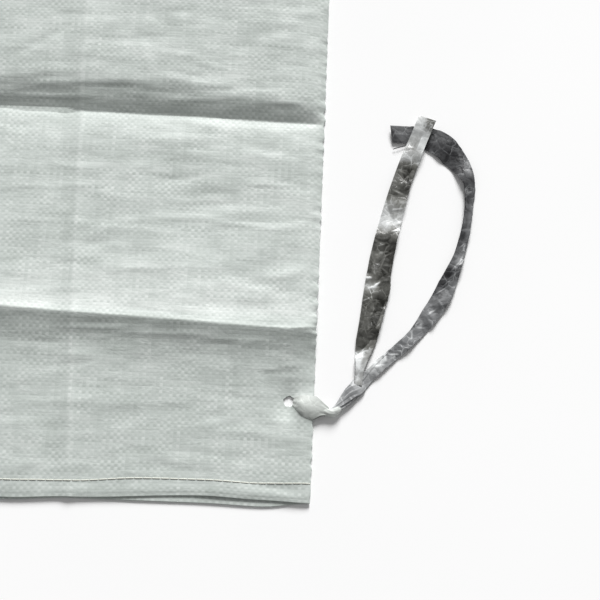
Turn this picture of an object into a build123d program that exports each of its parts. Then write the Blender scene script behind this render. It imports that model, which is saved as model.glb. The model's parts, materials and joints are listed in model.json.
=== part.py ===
from build123d import *

import math
import os

# Flat-packed woven polypropylene sack with a film tie, in millimetres.
# +X is across the sack, +Y runs from the open mouth to the sewn bottom, +Z is up.
# The origin is under the middle of the sack, on the surface that it lies on.

# ---------------------------------------------------------------- driving dimensions
SACK_WIDTH = 550.0
SACK_LENGTH = 950.0
LAID_HEIGHT = 7.4  # top of the front layer, with the sack lying empty
CLOTH = 0.4  # thickness of one solid layer; the woven cloth itself is about 0.2

CREASE_SPACING_FIRST = 135.0  # from the mouth to the crease nearest to it
CREASE_SPACING = 170.0  # from that crease to the next one
FOLD_GAP = 0.3  # left each side of a crease, so that the sections can fold

HEM_DEPTH = 20.0  # cloth turned in round the mouth
HEM_SEAM = 15.0  # from the mouth's edge to the row of stitches
MOUTH_LIFT = 0.5  # the mouth's back layer lies on its stitches and on the tie

FLAP_LEFT = -250.0  # the part of the front layer that lifts when the mouth is opened
FLAP_RIGHT = 225.0
FLAP_SETBACK = 8.0  # from the first crease to the line where the flap bends up

BOTTOM_FOLD_DEPTH = 25.0  # the end of the tube, turned over and sewn
BOTTOM_SLOPE = 15.0  # stretch where the front and back layers come together
BOTTOM_PLIES = 4
BOTTOM_LIFT = 0.5

THREAD = 0.4
THREAD_WIDTH = 0.8
HEM_STITCH = 7.0
BOTTOM_STITCH = 8.0

HOLE_X = 257.0  # punched through both layers beside the right-hand fold
HOLE_Y = -399.0
HOLE_RADIUS = 3.75

TIE_WIDTH = 14.0  # the 20 mm film strip, creased and half folded
TIE_THICKNESS = 1.2
TIE_BUNDLE_RADIUS = 2.6  # the strip gathered where it passes through the hole
LEAF_THICKNESS = 0.35
LEAF_TOP = 8.3
KNOT_SIZE = 7.0
LOOP_LENGTH = 25.0  # from the hole to the knot's near face
LOOP_ANGLE = -14.3  # the loop points a little towards the mouth, in degrees
NECK_WIDTH = 6.0
NECK_HEIGHT = 3.4
TAIL_STACK_GAP = 0.4  # between the two tails where the left one crosses the right one

# The middle lines of the film, chosen by hand, as x, y.
NECK_ROUTE = [(284.5, -406.0), (291.5, -403.2), (297.7, -396.2), (302.5, -389.5)]
LEFT_TAIL_ROUTE = [
    (306.9, -384.0),
    (308.5, -366.0),
    (313.5, -343.0),
    (318.5, -306.0),
    (327.0, -260.0),
    (339.0, -213.0),
    (347.5, -188.0),
    (355.5, -165.5),
]
RIGHT_TAIL_ROUTE = [
    (309.5, -383.0),
    (319.0, -371.0),
    (333.0, -358.0),
    (348.0, -343.0),
    (362.0, -324.0),
    (373.0, -301.0),
    (382.0, -274.0),
    (387.0, -245.0),
    (388.5, -222.0),
    (382.5, -203.5),
    (369.5, -187.0),
    (352.0, -179.0),
    (338.0, -178.6),
    (327.6, -180.0),
]

# ---------------------------------------------------------------- derived places
HALF_WIDTH = SACK_WIDTH / 2
MOUTH_Y = -SACK_LENGTH / 2
BOTTOM_Y = SACK_LENGTH / 2
MOUTH_CREASE_Y = MOUTH_Y + CREASE_SPACING_FIRST
MAIN_CREASE_Y = MOUTH_CREASE_Y + CREASE_SPACING
FLAP_HINGE_Y = MOUTH_CREASE_Y - FLAP_SETBACK
FRONT_BASE = LAID_HEIGHT - CLOTH
BOTTOM_TURN_Y = BOTTOM_Y - BOTTOM_FOLD_DEPTH
MAIN_END_Y = BOTTOM_TURN_Y - BOTTOM_SLOPE
FOLD_RADIUS = LAID_HEIGHT / 2
MOUTH_FOLD_RADIUS = (LAID_HEIGHT - MOUTH_LIFT) / 2
PANEL_X = HALF_WIDTH - FOLD_RADIUS
MOUTH_PANEL_X = HALF_WIDTH - MOUTH_FOLD_RADIUS
HEM_SEAM_Y = MOUTH_Y + HEM_SEAM
BOTTOM_SEAM_Y = BOTTOM_Y - BOTTOM_FOLD_DEPTH / 2


def save(shape, node):
    """Writes one node's solids to its STEP file."""
    export_step(shape, f"parts/{node}.step")


def plate(x_range, y_range, z_range):
    """A flat rectangular layer between the given limits."""
    low = Vector(x_range[0], y_range[0], z_range[0])
    high = Vector(x_range[1], y_range[1], z_range[1])
    size = high - low
    return Pos((low + high) / 2) * Box(size.X, size.Y, size.Z)


def side_fold(side, y_range, bottom):
    """The half-round turn of cloth that joins the front and back layers at one side."""
    radius = (LAID_HEIGHT - bottom) / 2
    x = side * (HALF_WIDTH - radius)
    middle = bottom + radius
    inner = radius - CLOTH
    y = y_range[0]
    outline = [
        ThreePointArc((x, y, middle - radius), (x + side * radius, y, middle), (x, y, middle + radius)),
        Line((x, y, middle + radius), (x, y, middle + inner)),
        ThreePointArc((x, y, middle + inner), (x + side * inner, y, middle), (x, y, middle - inner)),
        Line((x, y, middle - inner), (x, y, middle - radius)),
    ]
    section = make_face(outline)
    return extrude(section, amount=y_range[1] - y_range[0], dir=(0, 1, 0))


def stitch_row(x_range, y, top, bottom, pitch):
    """One thread that runs over and under the cloth between top and bottom, as a single solid."""
    half = THREAD / 2
    runs = 2 * int((x_range[1] - x_range[0]) / pitch)
    step = (x_range[1] - x_range[0]) / runs
    upper, lower = [], []
    for number in range(runs):
        start = x_range[0] + number * step
        end = start + step
        if number % 2 == 0:
            upper += [(start - half, top + THREAD), (end + half, top + THREAD)]
            lower += [(start + half, top), (end - half, top)]
        else:
            upper += [(start + half, bottom), (end - half, bottom)]
            lower += [(start - half, bottom - THREAD), (end + half, bottom - THREAD)]
    outline = [(x, y - THREAD_WIDTH / 2, z) for x, z in upper + lower[::-1]]
    section = make_face(Polyline(*outline, close=True))
    return extrude(section, amount=THREAD_WIDTH, dir=(0, 1, 0))


def looper_chain(x_range, y, base, pitch):
    """The chain that the looper thread makes under a seam: flat links, wide in the middle."""
    links = int((x_range[1] - x_range[0]) / pitch)
    step = (x_range[1] - x_range[0]) / links
    near, far = [], []
    for number in range(links):
        start = x_range[0] + number * step
        for along, width in ((0.0, 0.6), (0.3, 1.6), (0.7, 1.6)):
            near.append((start + along * step, y - width / 2))
            far.append((start + along * step, y + width / 2))
    section = make_face(Polyline(*near, *far[::-1], close=True))
    return Pos(0, 0, base) * extrude(section, amount=THREAD)


def bottom_layer(start_base, end_base):
    """One layer where the tube flattens: a plate between its undersides' heights at the start and the turn."""
    profile = [
        (MAIN_END_Y, start_base),
        (BOTTOM_TURN_Y, end_base),
        (BOTTOM_TURN_Y, end_base + CLOTH),
        (MAIN_END_Y, start_base + CLOTH),
    ]
    return wedge(profile, (-HALF_WIDTH, HALF_WIDTH))


def bottom_corner(side):
    """The cloth that closes one side of the flattened stretch, between its front and back layers."""
    profile = [
        (MAIN_END_Y, CLOTH),
        (BOTTOM_TURN_Y, BOTTOM_LIFT + CLOTH),
        (BOTTOM_TURN_Y, BOTTOM_LIFT + (BOTTOM_PLIES - 1) * CLOTH),
        (MAIN_END_Y, FRONT_BASE),
    ]
    limits = sorted((side * HALF_WIDTH, side * (HALF_WIDTH - CLOTH)))
    return wedge(profile, limits)


def wedge(profile, x_range):
    """A profile in Y and Z, drawn out across the sack between the given limits."""
    outline = [(x_range[0], y, z) for y, z in profile]
    section = make_face(Polyline(*outline, close=True))
    return extrude(section, amount=x_range[1] - x_range[0], dir=(1, 0, 0))


def bend_radii(points):
    """One arc for each corner, as large as its two runs allow."""
    radii = []
    for before, here, after in zip(points, points[1:], points[2:]):
        arriving = Vector(*here) - Vector(*before)
        leaving = Vector(*after) - Vector(*here)
        turn = math.radians(arriving.get_angle(leaving))
        shorter = min(arriving.length, leaving.length)
        radii.append(0.45 * shorter / math.tan(turn / 2))
    return radii


def ribbon(name, points, width, base, thickness):
    """A flat strip along a route of straight runs joined by arcs."""
    radii = bend_radii(points)
    route = FilletPolyline(*points, radius=radii)
    strip = extrude(trace(route, line_width=width), amount=thickness)
    length = route.length
    print(name, "length", round(length, 1), "radii", [round(radius) for radius in radii])
    print(name, "volume over section times length", round(strip.volume / (length * width * thickness), 3))
    return Pos(0, 0, base) * strip


def make_main_section():
    """From the second crease to the sewn bottom."""
    lengthwise = (MAIN_CREASE_Y + FOLD_GAP, MAIN_END_Y)
    across = (-PANEL_X, PANEL_X)
    seam = (-HALF_WIDTH + 6.0, HALF_WIDTH - 6.0)
    seam_top = BOTTOM_LIFT + BOTTOM_PLIES * CLOTH
    save(plate(across, lengthwise, (FRONT_BASE, LAID_HEIGHT)), "main_front_panel")
    save(plate(across, lengthwise, (0, CLOTH)), "main_back_panel")
    save(side_fold(-1, lengthwise, 0), "main_left_fold")
    save(side_fold(1, lengthwise, 0), "main_right_fold")
    save(bottom_layer(0, BOTTOM_LIFT), "bottom_back_layer")
    save(bottom_layer(FRONT_BASE, seam_top - CLOTH), "bottom_front_layer")
    save(bottom_corner(-1), "bottom_left_corner")
    save(bottom_corner(1), "bottom_right_corner")
    turned = ((-HALF_WIDTH, HALF_WIDTH), (BOTTOM_TURN_Y, BOTTOM_Y), (BOTTOM_LIFT, seam_top))
    save(plate(*turned), "bottom_turned_end")
    needle = stitch_row(seam, BOTTOM_SEAM_Y, seam_top, BOTTOM_LIFT + CLOTH, BOTTOM_STITCH)
    save(needle, "bottom_needle_thread")
    save(looper_chain(seam, BOTTOM_SEAM_Y, 0, BOTTOM_STITCH), "bottom_looper_thread")


def make_middle_section():
    """Between the two creases."""
    lengthwise = (MOUTH_CREASE_Y + FOLD_GAP, MAIN_CREASE_Y - FOLD_GAP)
    across = (-PANEL_X, PANEL_X)
    save(plate(across, lengthwise, (FRONT_BASE, LAID_HEIGHT)), "middle_front_panel")
    save(plate(across, lengthwise, (0, CLOTH)), "middle_back_panel")
    save(side_fold(-1, lengthwise, 0), "middle_left_fold")
    save(side_fold(1, lengthwise, 0), "middle_right_fold")


def make_mouth_section():
    """From the open mouth to the first crease, without the flap."""
    lengthwise = (MOUTH_Y, MOUTH_CREASE_Y - FOLD_GAP)
    hem = (MOUTH_Y, MOUTH_Y + HEM_DEPTH)
    hole = Pos(HOLE_X, HOLE_Y, LAID_HEIGHT / 2) * Cylinder(HOLE_RADIUS, 2 * LAID_HEIGHT)
    back_top = MOUTH_LIFT + CLOTH
    front = (FRONT_BASE, LAID_HEIGHT)
    across = (-MOUTH_PANEL_X, MOUTH_PANEL_X)
    left_margin = (-MOUTH_PANEL_X, FLAP_LEFT)
    right_margin = (FLAP_RIGHT, MOUTH_PANEL_X)
    save(plate(across, lengthwise, (MOUTH_LIFT, back_top)) - hole, "mouth_back_panel")
    save(side_fold(-1, lengthwise, MOUTH_LIFT), "mouth_left_fold")
    save(side_fold(1, lengthwise, MOUTH_LIFT), "mouth_right_fold")
    save(plate(left_margin, lengthwise, front), "mouth_left_margin")
    save(plate(right_margin, lengthwise, front) - hole, "mouth_right_margin")
    hems = [plate(margin, hem, (FRONT_BASE - CLOTH, FRONT_BASE)) for margin in (left_margin, right_margin)]
    save(Compound(children=hems), "margin_hems")

    band = (FLAP_HINGE_Y + FOLD_GAP, MOUTH_CREASE_Y - FOLD_GAP)
    save(plate((FLAP_LEFT, FLAP_RIGHT), band, front), "mouth_crease_band")
    save(plate(across, hem, (back_top, back_top + CLOTH)), "back_hem")

    back_row = stitch_row(
        (-MOUTH_PANEL_X + 2, MOUTH_PANEL_X - 2), HEM_SEAM_Y, back_top + CLOTH, MOUTH_LIFT, HEM_STITCH
    )
    left_row = stitch_row(
        (-MOUTH_PANEL_X + 1, FLAP_LEFT - 1), HEM_SEAM_Y, LAID_HEIGHT, FRONT_BASE - CLOTH, HEM_STITCH
    )
    right_row = stitch_row(
        (FLAP_RIGHT + 1, MOUTH_PANEL_X - 1), HEM_SEAM_Y, LAID_HEIGHT, FRONT_BASE - CLOTH, HEM_STITCH
    )
    save(Compound(children=[back_row, left_row, right_row]), "back_hem_thread")


def make_mouth_flap():
    """The part of the front layer that lifts when the mouth is opened."""
    across = (FLAP_LEFT + FOLD_GAP, FLAP_RIGHT - FOLD_GAP)
    lengthwise = (MOUTH_Y, FLAP_HINGE_Y - FOLD_GAP)
    hem = (MOUTH_Y, MOUTH_Y + HEM_DEPTH)
    save(plate(across, lengthwise, (FRONT_BASE, LAID_HEIGHT)), "mouth_front_panel")
    save(plate(across, hem, (FRONT_BASE - CLOTH, FRONT_BASE)), "front_hem")
    row = (across[0] + 1, across[1] - 1)
    save(stitch_row(row, HEM_SEAM_Y, LAID_HEIGHT, FRONT_BASE - CLOTH, HEM_STITCH), "front_hem_thread")


def make_tie():
    """The film strip: a loop through the hole and round the edge, a knot, a neck and two tails."""
    at_hole = Pos(HOLE_X, HOLE_Y, 0) * Rot(0, 0, LOOP_ANGLE)
    half_profile = [(0.0, 2.6), (9.0, 7.0), (16.0, 6.5), (LOOP_LENGTH, 2.5)]
    outline = half_profile + [(along, -across) for along, across in half_profile[::-1]]
    leaf = extrude(make_face(Polyline(*outline, close=True)), amount=LEAF_THICKNESS)
    post = Pos(0, 0, LEAF_TOP / 2) * Cylinder(TIE_BUNDLE_RADIUS, LEAF_TOP)
    save(at_hole * (leaf + Pos(0, 0, LEAF_TOP - LEAF_THICKNESS) * leaf + post), "tie_loop")

    block = Pos(LOOP_LENGTH + KNOT_SIZE / 2, 0, LEAF_TOP / 2) * Box(KNOT_SIZE, KNOT_SIZE, LEAF_TOP)
    save(at_hole * fillet(block.edges().filter_by(Axis.Z), 1.0), "tie_knot")

    save(ribbon("tie_neck", NECK_ROUTE, NECK_WIDTH, 0, NECK_HEIGHT), "tie_neck")
    right_tail = ribbon("tie_tail_right", RIGHT_TAIL_ROUTE, TIE_WIDTH, 0, TIE_THICKNESS)
    save(right_tail, "tie_tail_right")
    left_base = TIE_THICKNESS + TAIL_STACK_GAP
    left_tail = ribbon("tie_tail_left", LEFT_TAIL_ROUTE, TIE_WIDTH, left_base, TIE_THICKNESS)
    save(left_tail, "tie_tail_left")


os.makedirs("parts", exist_ok=True)
make_main_section()
make_middle_section()
make_mouth_section()
make_mouth_flap()
make_tie()
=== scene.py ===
import json
import math

import bpy
import numpy as np
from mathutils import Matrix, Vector


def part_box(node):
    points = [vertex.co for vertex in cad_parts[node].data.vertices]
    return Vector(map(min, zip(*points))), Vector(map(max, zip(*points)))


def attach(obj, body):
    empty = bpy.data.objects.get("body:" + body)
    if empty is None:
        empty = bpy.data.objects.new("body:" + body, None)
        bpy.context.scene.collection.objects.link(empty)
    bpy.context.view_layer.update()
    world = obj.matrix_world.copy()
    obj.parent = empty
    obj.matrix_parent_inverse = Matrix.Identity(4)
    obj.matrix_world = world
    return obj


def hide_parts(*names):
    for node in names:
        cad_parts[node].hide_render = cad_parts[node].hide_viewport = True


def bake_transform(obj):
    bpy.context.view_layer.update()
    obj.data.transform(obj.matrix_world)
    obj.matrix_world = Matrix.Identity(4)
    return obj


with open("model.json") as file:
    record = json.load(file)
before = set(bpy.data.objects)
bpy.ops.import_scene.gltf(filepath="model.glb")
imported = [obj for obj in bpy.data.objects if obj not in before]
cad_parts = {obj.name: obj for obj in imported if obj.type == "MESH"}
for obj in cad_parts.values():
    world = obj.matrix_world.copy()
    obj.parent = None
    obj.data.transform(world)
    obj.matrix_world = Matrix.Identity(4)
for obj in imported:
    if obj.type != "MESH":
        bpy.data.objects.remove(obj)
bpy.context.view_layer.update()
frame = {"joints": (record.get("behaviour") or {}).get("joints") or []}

# An empty woven polypropylene sack lying flat, with a film tie through a hole beside its mouth.
# Lengths are in metres. The frame is the CAD's: +X across, +Y from the mouth to the sewn end.

MM = 0.001
RANDOM_SEED = 7

# ---------------------------------------------------------------- places read from the frame
joints = {joint["name"]: joint for joint in frame["joints"]}
HALF_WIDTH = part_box("bottom_turned_end")[1].x
MOUTH_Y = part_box("mouth_back_panel")[0].y
BOTTOM_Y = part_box("bottom_turned_end")[1].y
BOTTOM_START_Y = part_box("bottom_front_layer")[0].y
HEM_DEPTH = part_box("back_hem")[1].y - MOUTH_Y
HEM_SEAM_Y = (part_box("front_hem_thread")[0].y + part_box("front_hem_thread")[1].y) / 2
BOTTOM_SEAM_Y = (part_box("bottom_needle_thread")[0].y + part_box("bottom_needle_thread")[1].y) / 2
FIRST_CREASE_Y = joints["first_crease"]["pos_m"][1]
SECOND_CREASE_Y = joints["second_crease"]["pos_m"][1]
FLAP_HINGE_Y = joints["mouth_open"]["pos_m"][1]
FLAP_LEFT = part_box("mouth_crease_band")[0].x
FLAP_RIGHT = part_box("mouth_crease_band")[1].x
HOLE = joints["tie_swing"]["pos_m"]

# ---------------------------------------------------------------- the cloth's own sizes
CLOTH = 0.25 * MM
TURN_RADIUS = 0.26 * MM  # of the hem's turned edge
TURN_LENGTH = math.pi * TURN_RADIUS
FRONT_HEIGHT = 6.9 * MM
BACK_HEIGHT = 0.22 * MM
PRESSED_FRONT = 0.60 * MM  # heights of the two layers at the hole, where the tie presses them together
PRESSED_BACK = 0.24 * MM
MOUTH_FADE = 22 * MM  # how far along the sack the stray of the mouth's edge fades out
EDGE_GAP = 1.5 * MM  # between front and back at the side folds
EDGE_RUN = 6 * MM
LENGTHWISE_CREASE_X = 98 * MM
TAPE_PITCH = 2.54 * MM  # 10 tapes to the inch
CREASE_LEAN = 0.06  # how much the lengthwise creases lean in, from the mouth to the end of the lean
CREASE_LEAN_END_Y = -130 * MM
CREASE_MARK = 75 * MM  # where a lengthwise crease's painted highlight line runs, with a band of painted shade just inside it, carried on to y = 0
HOLE_RADIUS = 4.15 * MM
HOLE_STRAY = 0.9 * MM  # how far the tie has dragged the hole along the sack
HOLE_WINDOW = 11 * MM  # half side of the square of cloth that is meshed round the hole

BOTTOM_TURN_Y = BOTTOM_Y - 1.4 * MM
BOTTOM_PLY_END = BOTTOM_Y - 25 * MM
SEAM_BACK_Z = 0.55 * MM
SEAM_FRONT_Z = 1.15 * MM
SEAM_FOLD_Z = 1.55 * MM
END_FOLD_RADIUS = 1.1 * MM  # round which the far end is turned over

random = np.random.default_rng(RANDOM_SEED)


def ease(low, high, value):
    """0 before low, 1 after high, smooth between them."""
    t = np.clip((value - low) / (high - low), 0, 1)
    return t * t * (3 - 2 * t)


# ---------------------------------------------------------------- camera and light
CAMERA_ELEVATION = math.radians(70.0)
CAMERA_TURN = math.radians(2.3)
CAMERA_ANGLE_OF_VIEW = math.radians(24.0)
CAMERA_DISTANCE = 1.057
CAMERA_TARGET = Vector((0.2618, -0.3187, 0.0))


def look_at(thing, target):
    """Points an object's -Z axis at a place."""
    direction = Vector(target) - thing.location
    thing.rotation_euler = direction.to_track_quat("-Z", "Y").to_euler()


def make_camera():
    data = bpy.data.cameras.new("camera")
    data.angle = CAMERA_ANGLE_OF_VIEW
    data.clip_start = 0.01
    camera = bpy.data.objects.new("camera", data)
    bpy.context.scene.collection.objects.link(camera)
    level = CAMERA_DISTANCE * math.cos(CAMERA_ELEVATION)
    offset = Vector(
        (
            level * math.sin(CAMERA_TURN),
            -level * math.cos(CAMERA_TURN),
            CAMERA_DISTANCE * math.sin(CAMERA_ELEVATION),
        )
    )
    camera.location = CAMERA_TARGET + offset
    look_at(camera, CAMERA_TARGET)
    bpy.context.scene.camera = camera


SUN_ELEVATION = math.radians(27.0)
SUN_TURN = math.radians(6.0)
SUN_SIZE = math.radians(24.0)  # a wide sun, so that shadows are soft
SKY = 0.27
FLOOR_HALF_SIDE = 6.0
FLOOR_DROP = 0.2 * MM


def make_light():
    """Soft light that comes mostly from beyond the sack's sewn end, as from a wide window."""
    data = bpy.data.lights.new("key", "SUN")
    data.energy = math.pi * (1 - SKY) / math.sin(SUN_ELEVATION)
    data.angle = SUN_SIZE
    key = bpy.data.objects.new("key", data)
    bpy.context.scene.collection.objects.link(key)
    level = math.cos(SUN_ELEVATION)
    key.location = (level * math.sin(SUN_TURN), level * math.cos(SUN_TURN), math.sin(SUN_ELEVATION))
    look_at(key, (0.0, 0.0, 0.0))
    world = bpy.data.worlds.new("world")
    world.use_nodes = True
    world.node_tree.nodes["Background"].inputs["Color"].default_value = (1, 1, 1, 1)
    world.node_tree.nodes["Background"].inputs["Strength"].default_value = SKY
    bpy.context.scene.world = world
    bpy.context.scene.view_settings.view_transform = "Standard"


# ---------------------------------------------------------------- material helpers
class Nodes:
    """Short calls for building one material's node tree."""

    def __init__(self, name):
        self.material = bpy.data.materials.new(name)
        self.material.use_nodes = True
        self.tree = self.material.node_tree
        self.shader = self.tree.nodes["Principled BSDF"]

    def link(self, source, socket):
        self.tree.links.new(source, socket)

    def put(self, socket, value):
        """Links a value that comes from a node, or sets a plain one."""
        if isinstance(value, bpy.types.NodeSocket):
            self.link(value, socket)
        else:
            socket.default_value = value

    def math(self, operation, first, second=0.0, clamp=False):
        node = self.tree.nodes.new("ShaderNodeMath")
        node.operation = operation
        node.use_clamp = clamp
        self.put(node.inputs[0], first)
        self.put(node.inputs[1], second)
        return node.outputs[0]

    def add(self, first, second, clamp=False):
        return self.math("ADD", first, second, clamp)

    def size(self, value):
        return self.math("ABSOLUTE", value)

    def less(self, first, second):
        return self.math("SUBTRACT", first, second)

    def times(self, first, second):
        return self.math("MULTIPLY", first, second)

    def vary(self, tone, pattern, amount):
        """The tone, made lighter and darker by a pattern that goes from 0 to 1."""
        return self.add(tone, self.times(self.less(pattern, 0.5), amount))

    def uv(self):
        node = self.tree.nodes.new("ShaderNodeUVMap")
        node.uv_map = "cloth"
        return node.outputs["UV"]

    def split(self, vector):
        node = self.tree.nodes.new("ShaderNodeSeparateXYZ")
        self.link(vector, node.inputs[0])
        return node.outputs[0], node.outputs[1]

    def join(self, x, y):
        node = self.tree.nodes.new("ShaderNodeCombineXYZ")
        self.put(node.inputs[0], x)
        self.put(node.inputs[1], y)
        return node.outputs[0]

    def noise(self, vector, scale, detail=2.0, roughness=0.5, distortion=0.0):
        node = self.tree.nodes.new("ShaderNodeTexNoise")
        self.link(vector, node.inputs["Vector"])
        node.inputs["Scale"].default_value = scale
        node.inputs["Detail"].default_value = detail
        node.inputs["Roughness"].default_value = roughness
        node.inputs["Distortion"].default_value = distortion
        return node.outputs["Fac"]

    def ramp(self, value, stops):
        node = self.tree.nodes.new("ShaderNodeValToRGB")
        self.link(value, node.inputs["Fac"])
        elements = node.color_ramp.elements
        while len(elements) < len(stops):
            elements.new(1.0)
        for element, (place, colour) in zip(elements, stops):
            element.position = place
            element.color = (*colour, 1.0)
        return node.outputs["Color"]

    def mix(self, share, first, second):
        node = self.tree.nodes.new("ShaderNodeMix")
        node.data_type = "RGBA"
        self.put(node.inputs["Factor"], share)
        self.put(node.inputs["A"], first)
        self.put(node.inputs["B"], second)
        return node.outputs["Result"]

    def span(self, value, from_low, from_high, to_low, to_high):
        node = self.tree.nodes.new("ShaderNodeMapRange")
        self.link(value, node.inputs["Value"])
        node.inputs["From Min"].default_value = from_low
        node.inputs["From Max"].default_value = from_high
        node.inputs["To Min"].default_value = to_low
        node.inputs["To Max"].default_value = to_high
        return node.outputs["Result"]

    def bump(self, height, strength, distance, normal=None):
        node = self.tree.nodes.new("ShaderNodeBump")
        self.link(height, node.inputs["Height"])
        node.inputs["Strength"].default_value = strength
        node.inputs["Distance"].default_value = distance
        if normal is not None:
            self.link(normal, node.inputs["Normal"])
        return node.outputs["Normal"]


def cloth_material():
    """Plain weave of flat white tapes, warp along the sack and weft round it."""
    n = Nodes("woven_cloth")
    u, v = n.split(n.uv())
    wander = n.noise(n.uv(), 30.0)
    across = n.add(n.math("DIVIDE", u, TAPE_PITCH), n.times(wander, 0.5))
    along = n.add(n.math("DIVIDE", v, TAPE_PITCH), n.times(wander, 0.35))
    wave_u = n.math("SINE", n.times(across, math.pi))
    wave_v = n.math("SINE", n.times(along, math.pi))
    checker = n.times(wave_u, wave_v)
    crown = n.math("POWER", n.size(checker), 0.5)
    warp_on_top = n.span(checker, -0.3, 0.3, 0.0, 1.0)

    # Every tape has its own tone, which changes slowly along it.
    warp_number = n.math("FLOOR", across)
    weft_number = n.math("FLOOR", along)
    warp_tone = n.noise(n.join(n.times(warp_number, 7.31), n.times(v, 24.0)), 1.0, 1.0)
    weft_tone = n.noise(n.join(n.times(u, 24.0), n.times(weft_number, 7.31)), 1.0, 1.0)
    tape_tone = n.mix(warp_on_top, weft_tone, warp_tone)
    streaks = n.noise(n.join(n.times(u, 0.35), v), 75.0, 3.0, 0.6)
    mottle = n.noise(n.uv(), 28.0, 4.0, 0.62)
    contrast = n.span(n.noise(n.join(v, u), 36.0, 2.0), 0.35, 0.65, 0.07, 0.21)

    tone = n.vary(0.5, tape_tone, 0.7)
    tone = n.vary(tone, mottle, 0.75)
    tone = n.vary(tone, streaks, 0.62)
    lean = n.times(n.math("MINIMUM", v, CREASE_LEAN_END_Y), CREASE_LEAN)
    leaned_x = n.add(n.size(u), lean)
    leaned_x = n.add(leaned_x, n.times(wander, 2 * MM))
    # Painted highlight along each lengthwise crease's line.
    off = n.size(n.less(leaned_x, CREASE_MARK))
    tone = n.add(tone, n.span(off, 0.0, 3.5 * MM, 0.14, 0.0))
    # Painted shade in a band just inside that line.
    shadow = n.size(n.less(leaned_x, CREASE_MARK - 10 * MM))
    tone = n.less(tone, n.span(shadow, 2 * MM, 12 * MM, 0.06, 0.0))
    # Painted highlight on the side of the raised first crease that slopes up to it, the side that faces the
    # light.
    above = n.less(v, FIRST_CREASE_Y)
    crease_highlight = n.times(n.span(above, 0.0, 7 * MM, 0.0, 1.0), n.span(above, 7 * MM, 44 * MM, 0.34, 0.0))
    tone = n.add(tone, crease_highlight)
    # Painted sheen: the cells where warp lies on top and those where weft does are painted lighter and
    # darker, as their tapes catch the light differently.
    tone = n.add(tone, n.times(checker, contrast), clamp=True)
    shades = [(0.0, (0.39, 0.43, 0.40)), (0.5, (0.535, 0.578, 0.55)), (1.0, (0.71, 0.745, 0.72))]
    colour = n.ramp(tone, shades)
    n.link(colour, n.shader.inputs["Base Color"])
    n.link(n.span(tape_tone, 0.3, 0.7, 0.42, 0.6), n.shader.inputs["Roughness"])
    n.shader.inputs["Specular IOR Level"].default_value = 0.3

    fibre = n.noise(n.join(n.times(u, 5.0), v), 160.0, 2.0)
    height = n.add(crown, n.times(fibre, 0.25))
    creasing = n.noise(n.join(n.times(u, 0.5), v), 110.0, 3.0, 0.6, 0.5)
    soft = n.bump(creasing, 0.45, 0.9 * MM)
    n.link(n.bump(height, 0.35, 0.10 * MM, soft), n.shader.inputs["Normal"])
    return n.material


def thread_material():
    n = Nodes("sewing_thread")
    where = n.tree.nodes.new("ShaderNodeTexCoord").outputs["Object"]
    tone = n.noise(where, 900.0, 2.0)
    cream = n.ramp(tone, [(0.3, (0.61, 0.62, 0.55)), (0.7, (0.73, 0.74, 0.67))])
    n.link(cream, n.shader.inputs["Base Color"])
    n.shader.inputs["Roughness"].default_value = 0.8
    n.link(n.bump(n.noise(where, 2500.0), 0.5, 0.1 * MM), n.shader.inputs["Normal"])
    return n.material


def film_material(name, dark, middle, light, gloss):
    """Thin smoky film, crumpled: its tone, which holds painted reflections, and its clearness are painted on
    the mesh; some of its crease lines are painted pale as highlights.
    """
    n = Nodes(name)
    where = n.uv()
    warp = n.noise(where, 110.0, 2.0, 0.6)
    u, v = n.split(where)
    bent = n.join(
        n.add(u, n.times(warp, 9 * MM)),
        n.less(v, n.times(warp, 9 * MM)),
    )
    cells = n.tree.nodes.new("ShaderNodeTexVoronoi")
    cells.feature = "DISTANCE_TO_EDGE"
    n.link(bent, cells.inputs["Vector"])
    cells.inputs["Scale"].default_value = 145.0
    edge = cells.outputs["Distance"]
    some = n.span(n.noise(where, 75.0, 2.0), 0.47, 0.6, 0.0, 1.0)
    # Painted highlights along some of the crumpled film's crease lines.
    line = n.times(n.span(edge, 0.01, 0.07, 1.0, 0.0), some)
    blotch = n.noise(where, 170.0, 4.0, 0.65, 0.8)
    streak = n.noise(n.join(n.times(u, 1.0), n.times(v, 0.22)), 420.0, 3.0, 0.6)

    painted = n.tree.nodes.new("ShaderNodeAttribute")
    painted.attribute_name = "tone"
    tone = n.vary(painted.outputs["Fac"], blotch, 0.26)
    tone = n.vary(tone, streak, 0.18)
    tone = n.add(tone, n.times(line, 0.3), clamp=True)
    n.link(n.ramp(tone, [(0.0, dark), (0.45, middle), (0.95, light)]), n.shader.inputs["Base Color"])
    n.link(n.span(blotch, 0.3, 0.7, gloss[0], gloss[1]), n.shader.inputs["Roughness"])
    n.shader.inputs["Specular IOR Level"].default_value = gloss[2]
    clear = n.tree.nodes.new("ShaderNodeAttribute")
    clear.attribute_name = "clear"
    n.link(n.less(1.0, clear.outputs["Fac"]), n.shader.inputs["Alpha"])
    crackle = n.noise(where, 330.0, 3.0, 0.6, 1.2)
    first = n.bump(n.span(edge, 0.0, 0.25, 0.0, 1.0), 0.2, 0.6 * MM)
    n.link(n.bump(crackle, 0.25, 0.3 * MM, first), n.shader.inputs["Normal"])
    return n.material


def floor_material():
    n = Nodes("pale_floor")
    where = n.tree.nodes.new("ShaderNodeTexCoord").outputs["Object"]
    tone = n.noise(where, 3.0, 3.0)
    white = n.ramp(tone, [(0.3, (0.955, 0.955, 0.955)), (0.7, (0.975, 0.975, 0.975))])
    n.link(white, n.shader.inputs["Base Color"])
    n.shader.inputs["Roughness"].default_value = 0.9
    n.shader.inputs["Specular IOR Level"].default_value = 0.1
    return n.material


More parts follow.
